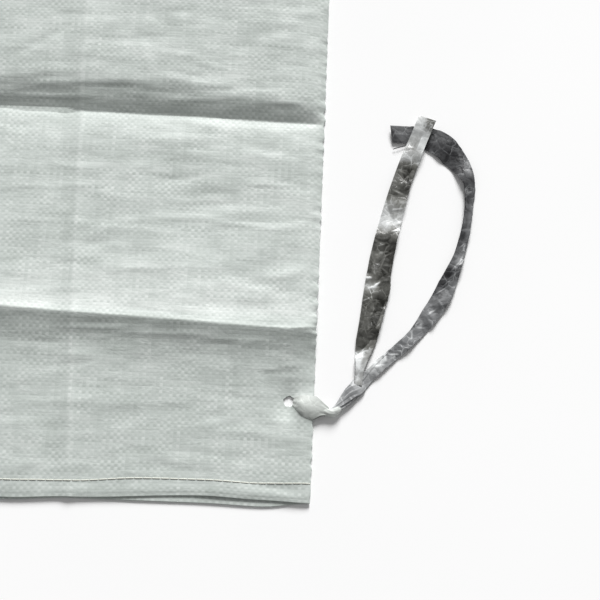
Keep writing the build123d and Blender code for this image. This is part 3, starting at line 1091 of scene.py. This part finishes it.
# The film's middle lines, in millimetres. The neck's and the tails' are the CAD ribbons' own points.
NECK_ROUTE = [(284.5, -406.0), (291.5, -403.2), (297.7, -396.2), (302.5, -389.5)]
NECK_INTO_TAIL = [(307.0, -386.0), (309.5, -379.0)]  # where the neck's film runs on under the right tail
KNOT_ROUTE = [(280.6, -404.0), (285.0, -405.6), (288.6, -406.0), (292.0, -404.4), (294.6, -401.6)]
LEFT_TAIL_ROUTE = [
    (306.9, -384.0),
    (308.5, -366.0),
    (313.5, -343.0),
    (318.5, -306.0),
    (327.0, -260.0),
    (339.0, -213.0),
    (347.5, -188.0),
    (355.5, -165.5),
]
RIGHT_TAIL_ROUTE = [
    (309.5, -383.0),
    (319.0, -371.0),
    (333.0, -358.0),
    (348.0, -343.0),
    (362.0, -324.0),
    (373.0, -301.0),
    (382.0, -274.0),
    (387.0, -245.0),
    (388.5, -222.0),
    (382.5, -203.5),
    (369.5, -187.0),
    (352.0, -179.0),
    (338.0, -178.6),
    (327.6, -180.0),
]

# Along each tail, from the fork to its end: (share of the length, value). left and right are how far the film
# reaches beside its line and height how far above the floor, in millimetres; tilt is in degrees; the tones go
# from 0, dark, to 1, white, along each side, and are painted reflections, dark where the film mirrors dark
# and white where it mirrors light; clear is how much shows through; over is how much paler the folded-over
# layers are painted, as extra reflection; marks are small creases, each painted pale as a glint, as
# glint_creases reads them.
LEFT_TAIL = {
    "left": [(0, 3), (0.05, 3.5), (0.15, 7.5), (0.45, 9.5), (0.7, 8.5), (1, 7)],
    "right": [(0, 3), (0.05, 3), (0.15, 7.5), (0.35, 11), (0.4, 9), (0.75, 6.5), (1, 7)],
    "tilt": [(0, 0), (0.5, 4), (0.8, -3), (1, 0)],
    "height": [(0, 0.9), (0.02, 1.3), (0.045, 2.0), (0.08, 2.1), (0.3, 1.8), (0.8, 2.8), (0.88, 3.0),
        (0.94, 4.6), (0.97, 4.9), (1, 4.3)],
    "crumple": [(0, 0.1), (0.02, 0.3), (0.06, 1), (0.88, 0.9), (1, 0.5)],
    "left tone": [(0, 0.45), (0.1, 0.9), (0.13, 0.15), (0.3, 0.2), (0.35, 0.6), (0.4, 0.2), (0.53, 0.2),
        (0.58, 0.9), (0.66, 0.6), (0.69, 0.2), (0.8, 0.2), (0.83, 0.85), (0.87, 0.5), (0.96, 0.9), (1, 0.75)],
    "right tone": [(0, 0.45), (0.12, 0.4), (0.14, 0.1), (0.3, 0), (0.35, 0.25), (0.4, 0.05), (0.51, 0.05),
        (0.6, 0.75), (0.67, 0.5), (0.7, 0.05), (0.8, 0.05), (0.83, 0.7), (0.94, 0.8), (1, 0.25)],
    "clear": [(0, 0.08), (0.8, 0.06), (0.86, 0.5), (0.94, 0.5), (0.96, 0.2), (1, 0.15)],
    "over": 0.2,
    "marks": [(0.345, -0.3, 25, 6, 0.8, 0.8), (0.36, 0.05, 45, 5, 0.7, 1.0), (0.375, -0.75, 10, 6, 0.9, 0.9),
        (0.395, -0.35, -40, 4, 0.6, 0.5), (0.3, -0.55, 32, 9, 0.5, 0.55), (0.44, 0.1, 80, 12, 0.5, 0.45),
        (0.41, 0.4, -30, 7, 0.5, 0.4), (0.47, 0.35, 40, 8, 0.5, 0.4), (0.505, -0.5, -12, 8, 0.5, 0.4),
        (0.56, 0.45, 30, 7, 0.6, 0.5), (0.6, 0.4, -35, 6, 0.6, 0.5), (0.64, 0.2, 20, 8, 0.6, 0.5),
        (0.70, -0.1, -8, 9, 0.7, 0.6), (0.745, 0.15, -12, 7, 0.6, 0.45), (0.78, -0.3, -10, 6, 0.6, 0.4),
        (0.25, 0.0, 60, 3, 0.8, 0.4), (0.17, 0.2, 10, 4, 0.6, 0.25), (0.09, -0.2, 30, 8, 0.8, 0.4)],
    "seed": 5,
}
RIGHT_TAIL = {
    "left": [(0, 4), (0.2, 4.5), (0.28, 7), (0.38, 7), (0.48, 3.5), (0.6, 2.5), (0.7, 3.5), (0.8, 10.5),
        (0.9, 10), (1, 8)],
    "right": [(0, 4.5), (0.2, 5.5), (0.35, 7.5), (0.45, 5), (0.6, 4), (0.7, 5.5), (0.85, 10.5),
        (0.95, 7.5), (1, 8.5)],
    "tilt": [(0, 0), (0.4, 3), (0.5, -10), (0.64, -16), (0.71, -3), (0.76, 3), (1, 2)],
    "height": [(0, 0.7), (0.06, 1.0), (0.25, 1.0), (0.4, 1.4), (0.55, 2.4), (0.68, 2.6), (0.8, 1.6),
        (0.9, 1.2), (1, 1.1)],
    "crumple": [(0, 0.1), (0.02, 0.3), (0.06, 1), (0.62, 0.9), (0.72, 0.35), (1, 0.3)],
    "left tone": [(0, 0.5), (0.03, 0.5), (0.05, 0.75), (0.09, 0.75), (0.1, 0.4), (0.22, 0.3), (0.24, 0.5),
        (0.29, 0.45), (0.34, 0.05), (0.41, 0.05), (0.45, 0.2), (0.5, 0.05), (0.9, 0.05), (1, 0.2)],
    "right tone": [(0, 0.45), (0.1, 0.5), (0.15, 0.35), (0.24, 0.3), (0.26, 0.5), (0.32, 0.25), (0.6, 0.2),
        (0.8, 0.05), (1, 0.15)],
    "clear": [(0, 0.08), (1, 0.06)],
    "over": 0.1,
    "marks": [(0.07, 0.0, 60, 9, 0.8, 0.6), (0.1, -0.2, -30, 6, 0.9, 0.7), (0.125, 0.1, 50, 7, 0.7, 0.6),
        (0.16, 0.2, 30, 7, 0.5, 0.4), (0.2, -0.1, -50, 8, 0.6, 0.45), (0.235, 0.1, 40, 7, 0.5, 0.35),
        (0.29, 0.0, 70, 10, 0.7, 0.4), (0.32, 0.3, -30, 9, 0.6, 0.45), (0.36, -0.2, 60, 12, 0.5, 0.5),
        (0.385, -0.1, 65, 12, 0.5, 0.4), (0.41, 0.1, 60, 12, 0.5, 0.45), (0.435, 0.0, 70, 10, 0.6, 0.4),
        (0.47, 0.3, 80, 14, 0.6, 0.25), (0.97, 0.05, 85, 14, 0.5, 0.2)],
    "seed": 3,
}


def spline_points(name, route, height, resolution):
    """Points along one NURBS spline whose control points are the route."""
    curve = bpy.data.curves.new(name + "_line", "CURVE")
    curve.dimensions = "3D"
    curve.resolution_u = resolution
    spline = curve.splines.new("NURBS")
    spline.points.add(len(route) - 1)
    for point, (x, y) in zip(spline.points, route):
        point.co = (x * MM, y * MM, height, 1.0)
    spline.order_u = 3
    spline.use_endpoint_u = True
    line = bpy.data.objects.new(name + "_line", curve)
    mesh = bpy.data.meshes.new_from_object(line)
    points = np.array([vertex.co for vertex in mesh.vertices], float)
    bpy.data.objects.remove(line)
    bpy.data.meshes.remove(mesh)
    return points


def sides_of(points):
    """The level direction square to the line, at each of its points."""
    ahead = np.gradient(points, axis=0)
    ahead /= np.linalg.norm(ahead, axis=1, keepdims=True)
    return np.cross(ahead, (0.0, 0.0, 1.0))


def even_points(points, step):
    """The same line with its points one step apart, and how far along it each is."""
    gaps = np.linalg.norm(np.diff(points, axis=0), axis=1)
    distance = np.append(0, np.cumsum(gaps))
    count = max(2, round(distance[-1] / step))
    wanted = np.linspace(0, distance[-1], count + 1)
    return np.stack([np.interp(wanted, distance, points[:, k]) for k in range(3)], 1), wanted


def profile(share, stops):
    """A value along the film, from stops of (share of its length, value)."""
    return np.interp(share, *zip(*stops))


def facets(a, b, size, rng):
    """Crumpled film: flat triangles between random heights. Gives the height, and a random number for each
    facet, used as its painted shade.
    """
    reach_a, reach_b = int(np.ptp(a) / size) + 4, int(np.ptp(b) / size) + 4
    corner = rng.uniform(-1, 1, (reach_a + 1, reach_b + 1))
    shade = rng.uniform(-1, 1, (reach_a, reach_b, 2))
    turned = rng.random((reach_a, reach_b)) < 0.5
    along, beside = (a - a.min()) / size + 1, (b - b.min()) / size + 1
    row, column = along.astype(int), beside.astype(int)
    s, t = along - row, beside - column
    low, high = corner[row, column], corner[row + 1, column]
    side, far = corner[row, column + 1], corner[row + 1, column + 1]
    flip = turned[row, column]
    s_used = np.where(flip, 1 - s, s)
    first, second = np.where(flip, high, low), np.where(flip, low, high)
    third, fourth = np.where(flip, far, side), np.where(flip, side, far)
    under = s_used + t < 1
    near = first + s_used * (second - first) + t * (third - first)
    away = fourth + (1 - s_used) * (third - fourth) + (1 - t) * (second - fourth)
    return np.where(under, near, away), shade[row, column, under.astype(int)]


def crumple(along, across, seed):
    """Heights of crumpled film, and the painted shade of its facets, from large facets and small ones on a
    bent grid.
    """
    rng = np.random.default_rng(seed)
    bend = make_bends(rng)
    a = along + waves(bend[:6], along, across)
    b = across + waves(bend[6:], along, across)
    turn = math.radians(27)
    a, b = a * math.cos(turn) - b * math.sin(turn), a * math.sin(turn) + b * math.cos(turn)
    large, large_shade = facets(a, b, 10 * MM, rng)
    small, small_shade = facets(a + 0.6 * b, b - 0.4 * a, 4.3 * MM, rng)
    height = 0.85 * MM * large + 0.16 * MM * small
    return height, 0.8 * large_shade + 0.3 * small_shade


def make_bends(rng):
    length = rng.uniform(14 * MM, 40 * MM, 12)
    turn = rng.uniform(0, 2 * math.pi, 12)
    phase = rng.uniform(0, 2 * math.pi, 12)
    return np.stack([np.sin(turn) / length, np.cos(turn) / length, 0.06 * length, phase], 1)


def glint_creases(share, across, length, marks):
    """Small creases, each painted pale as a glint, given as: share of the tail's length, place across it from
    -1 to 1, turn in degrees from square, length and width in millimetres, and strength."""
    total = np.zeros_like(share)
    for middle, beside, turn, reach, width, strength in marks:
        off_along = (share - middle) * length
        off_across = across - beside * FILM_WIDTH / 2
        turn = math.radians(turn)
        along = off_across * math.cos(turn) + off_along * math.sin(turn)
        aside = off_along * math.cos(turn) - off_across * math.sin(turn)
        total += strength * np.exp(-((along / (reach * MM / 2)) ** 4) - (aside / (width * MM)) ** 2)
    return total


def paint(piece, name, values):
    layer = piece.data.attributes.new(name, "FLOAT", "POINT")
    layer.data.foreach_set("value", np.clip(values, 0, 1).astype(np.float32))


def film_piece(name, place, across, along, tone, clear, material, skip=None):
    """A closed thin sheet from a grid of places, with its tone and clearness painted on it."""
    rows, columns = place.shape[:2]
    by_row = np.gradient(place, axis=0).reshape(-1, 3)
    by_column = np.gradient(place, axis=1).reshape(-1, 3)
    normal = np.cross(by_column, by_row)
    normal /= np.clip(np.linalg.norm(normal, axis=1, keepdims=True), 1e-12, None)
    index = np.arange(rows * columns).reshape(rows, columns)
    cells = np.stack([index[:-1, :-1], index[:-1, 1:], index[1:, 1:], index[1:, :-1]], -1)
    keep = np.ones(cells.shape[:2], bool) if skip is None else ~skip
    texture = np.stack([across.ravel(), along.ravel()], 1)
    flat = place.reshape(-1, 3)
    cells = cells[keep]
    piece = thick_mesh(name, flat, normal, texture, cells, FILM_THICKNESS, material)
    used = np.unique(cells)
    paint(piece, "tone", np.tile(tone.ravel()[used], 2))
    paint(piece, "clear", np.tile(clear.ravel()[used], 2))
    return piece


def film_strip(name, line, settings, material, slit=0.0):
    """A tail: the film folded lengthwise to the width seen, then tilted and crumpled along its line."""
    points, distance = even_points(line, 0.7 * MM)
    sideways = sides_of(points)
    share, w = np.meshgrid(distance / distance[-1], np.linspace(0, FILM_WIDTH, 34), indexing="ij")
    along = share * distance[-1]
    left = profile(share, settings["left"]) * MM
    right = profile(share, settings["right"]) * MM
    width = np.minimum(left + right, FILM_WIDTH)
    fold = w / width
    layer = np.floor(fold - 1e-6)
    zigzag = 1 - np.abs(np.mod(fold, 2) - 1)
    place = zigzag * width - left
    height, shade = crumple(along, place, settings["seed"])
    height = height * profile(share, settings["crumple"])
    marks = glint_creases(share, place, distance[-1], settings["marks"])
    height = height + 0.35 * MM * marks
    lift = height + PLY_STEP * fold + 0.125 * waves(make_bends(np.random.default_rng(9)), along, w)
    tilt = np.radians(profile(share, settings["tilt"]))
    out = place * np.cos(tilt) - lift * np.sin(tilt)
    up = place * np.sin(tilt) + lift * np.cos(tilt) + profile(share, settings["height"]) * MM
    low = 0.25 * MM
    up = np.where(up < low + 0.6 * MM, low + 0.6 * MM * np.exp((up - low) / (0.6 * MM) - 1), up)
    torn = np.zeros(w.shape, bool)
    skip = None
    if slit:
        open_share = np.clip((along - (distance[-1] - slit)) / slit, 0, 1)
        torn = (place < -left + 1.4 * MM) & (layer == 0) & (open_share > 0)
        out = out - torn * open_share * 4.5 * MM
        skip = (torn[:-1, :-1] != torn[:-1, 1:]) & (open_share[:-1, :-1] > 0)
    surface = points[:, None, :] + out[..., None] * sideways[:, None, :]
    surface[..., 2] = up
    side = ease(0.35, 0.65, zigzag)
    # The tone profiles paint the film's reflections; on them go the facets' painted shade, a painted glint on
    # each marked crease, the folded-over layers painted paler as extra reflection, and painted shade on the
    # torn sliver.
    tone = (1 - side) * profile(share, settings["left tone"]) + side * profile(share, settings["right tone"])
    tone = tone + 0.09 * shade + 0.7 * marks + settings["over"] * (layer > 0) - 0.5 * torn
    clear = profile(share, settings["clear"])
    piece = film_piece(name, surface, w, along + settings["seed"], tone, clear, material, skip)
    return piece, points


def bundle(name, line, half_widths, half_heights, middle_height, pleats, tones, material):
    """Gathered film: a closed, pleated and slightly twisted form along a line."""
    points, distance = even_points(line, 0.5 * MM)
    sideways = sides_of(points)
    columns = 64
    share, turn = np.meshgrid(
        distance / distance[-1], np.arange(columns) * 2 * math.pi / columns, indexing="ij"
    )
    twist = turn + 1.7 * share
    depth = pleats * (1 - 0.8 * ease(0.55, 0.9, share))
    groove = 1 - depth * np.abs(np.sin(3.5 * twist)) - 0.5 * depth * np.abs(np.sin(8 * twist + 5 * share))
    out = profile(share, half_widths) * MM * groove * np.cos(turn)
    up = profile(share, middle_height) * MM + profile(share, half_heights) * MM * groove * np.sin(turn)
    surface = points[:, None, :] + out[..., None] * sideways[:, None, :]
    surface[..., 2] = np.maximum(up, 0.12 * MM)
    rows = len(points)
    index = np.arange(rows * columns).reshape(rows, columns)
    after = np.roll(index, -1, axis=1)
    quads = np.stack([index[:-1], index[1:], after[1:], after[:-1]], -1).reshape(-1, 4)
    faces = [tuple(quad) for quad in quads.tolist()]
    faces += [tuple(index[0].tolist()), tuple(index[-1].tolist()[::-1])]
    mesh = bpy.data.meshes.new(name)
    mesh.from_pydata(surface.reshape(-1, 3).tolist(), [], faces)
    mesh.polygons.foreach_set("use_smooth", np.ones(len(faces), bool))
    layer = mesh.uv_layers.new(name="cloth")
    corner = np.zeros(len(mesh.loops), int)
    mesh.loops.foreach_get("vertex_index", corner)
    texture = np.stack([(turn * 3 * MM).ravel(), (share * distance[-1]).ravel()], 1)[corner]
    layer.data.foreach_set("uv", texture.astype(np.float32).ravel())
    piece = add_piece(name, mesh, material)
    # Painted shade in the pleats: the deeper a groove, the darker it is painted.
    tone = profile(share, tones) + 0.5 * (groove - 0.85)
    paint(piece, "tone", tone.ravel())
    paint(piece, "clear", np.full(share.size, 0.04))
    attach(piece, "tie_base")
    return piece


LOOP_SLANT = 0.16
# The loop's outline seen from above, from the hole to the knot, in millimetres:
# (share of the way, middle x, middle y, half width).
LOOP_OUTLINE = [
    (0, 260, -398, 3),
    (0.2, 265, -400, 6.5),
    (0.4, 270, -402, 8.5),
    (0.6, 275.5, -403, 9),
    (0.8, 281, -403.5, 5),
    (1, 286, -405, 2.5),
]


def make_loop(material):
    """The film round the sack's edge: from the knot over the front to the hole, and back underneath."""
    rows, columns = 150, 41
    stage, across = np.meshgrid(np.linspace(0, 1, rows), np.linspace(-1, 1, columns), indexing="ij")
    turn_start, turn_end = 0.44, 0.56  # the share of the film that goes down through the hole
    on_top = stage < turn_start
    reach = np.where(on_top, 1 - stage / turn_start, np.clip((stage - turn_end) / (1 - turn_end), 0, 1))
    shares, *outline = zip(*LOOP_OUTLINE)
    middle_x, middle_y, half = (np.interp(reach, shares, values) * MM for values in outline)
    x = middle_x + across * half * LOOP_SLANT
    y = middle_y + across * half
    front, back = layer_heights(np.minimum(x, HALF_WIDTH - 1.0 * MM), y)
    puff = 1.2 * MM * np.sin(math.pi * np.clip(reach, 0, 1)) ** 0.8
    puff = puff * (1 - across**2) ** 0.9 * (1 - 0.4 * across)
    pleat = 0.22 * MM * ease(0.6, 1.0, reach) * np.cos(9 * across + 4 * reach)
    pleat = pleat + 0.08 * MM * ease(0.4, 0.0, reach) * np.cos(7 * across - 4 * reach)
    beyond = ease(HALF_WIDTH - 3 * MM, HALF_WIDTH + 9 * MM, x)
    above = front + 0.3 * MM + puff + pleat
    above = above + beyond * (4.3 * MM - 0.5 * MM * np.abs(across) - above) + 0.5 * pleat
    below = np.maximum(back - 0.42 * MM, 0.10 * MM)
    below = below + beyond * (1.2 * MM - below) - 0.4 * beyond * pleat
    z = above + ease(turn_start, turn_end, stage) * (below - above)
    surface = np.stack([x, y, z], -1)
    # Painted shade and highlight: lighter on the pleats' crests, darker in their hollows, and darker towards
    # the loop's -Y side.
    tone = 0.72 + 0.05 * across + 0.2 * pleat / MM
    clear = np.full_like(tone, 0.12)
    along = stage * 60 * MM
    piece = film_piece("tie_loop_film", surface, across * half, along, tone, clear, material)
    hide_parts("tie_loop")
    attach(piece, "tie_base")
    return piece


def make_tie():
    """The loop, knot and neck, and the two tails that part at the fork."""
    light = (0.86, 0.88, 0.88)
    white = (0.68, 0.71, 0.68)
    dark_olive = (0.012, 0.012, 0.009)
    olive = film_material("tie_film_olive", dark_olive, (0.19, 0.19, 0.175), light, (0.2, 0.36, 0.5))
    grey = film_material("tie_film_grey", (0.015, 0.015, 0.017), (0.20, 0.205, 0.21), light, (0.3, 0.48, 0.4))
    pale = film_material("tie_film_pale", (0.2, 0.21, 0.2), (0.4, 0.425, 0.4), white, (0.5, 0.65, 0.3))

    right_line = spline_points("right", RIGHT_TAIL_ROUTE, 0.6 * MM, 24)
    right, right_path = film_strip("tie_right_film", right_line, RIGHT_TAIL, grey, slit=15 * MM)
    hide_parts("tie_tail_right")
    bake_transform(right)
    left_line = spline_points("left", LEFT_TAIL_ROUTE, 2.2 * MM, 24)
    left, left_path = film_strip("tie_left_film", left_line, LEFT_TAIL, olive)
    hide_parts("tie_tail_left")
    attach(left, "tie_left")

    neck_line = spline_points("neck", NECK_ROUTE + NECK_INTO_TAIL, 1.6 * MM, 24)
    neck = bundle(
        "tie_neck_film",
        neck_line,
        half_widths=[(0, 2.6), (0.2, 3.2), (0.45, 5.0), (0.62, 6.4), (0.8, 6.5), (0.92, 5.7), (1, 4.4)],
        half_heights=[(0, 2.0), (0.45, 1.8), (0.62, 1.5), (0.75, 1.1), (0.88, 0.5), (1, 0.15)],
        middle_height=[(0, 2.5), (0.6, 2.2), (0.75, 1.8), (0.88, 0.9), (1, 0.3)],
        pleats=0.26,
        tones=[(0, 0.9), (0.15, 0.88), (0.28, 0.64), (0.5, 0.52), (1, 0.5)],
        material=grey,
    )
    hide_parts("tie_neck")
    knot_line = spline_points("knot", KNOT_ROUTE, 2 * MM, 24)
    knot = bundle(
        "tie_knot_film",
        knot_line,
        half_widths=[(0, 2.6), (0.2, 3.1), (0.5, 3.2), (0.75, 2.9), (0.9, 2.2), (1, 1.0)],
        half_heights=[(0, 1.2), (0.2, 2.1), (0.5, 2.4), (0.75, 2.1), (0.9, 1.5), (1, 0.6)],
        middle_height=[(0, 2.6), (0.75, 2.6), (1, 3.0)],
        pleats=0.07,
        tones=[(0, 0.74), (0.5, 0.82), (0.8, 0.84), (1, 0.7)],
        material=pale,
    )
    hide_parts("tie_knot")
    loop = make_loop(pale)


# ---------------------------------------------------------------- the whole scene
make_camera()
make_light()
make_floor(floor_material())
make_tie()
cloth = cloth_material()
make_lower_cloth(cloth)
make_upper_cloth(cloth)
make_flap(cloth)
thread = thread_material()
make_hem_threads(thread)
make_bottom_threads(thread)
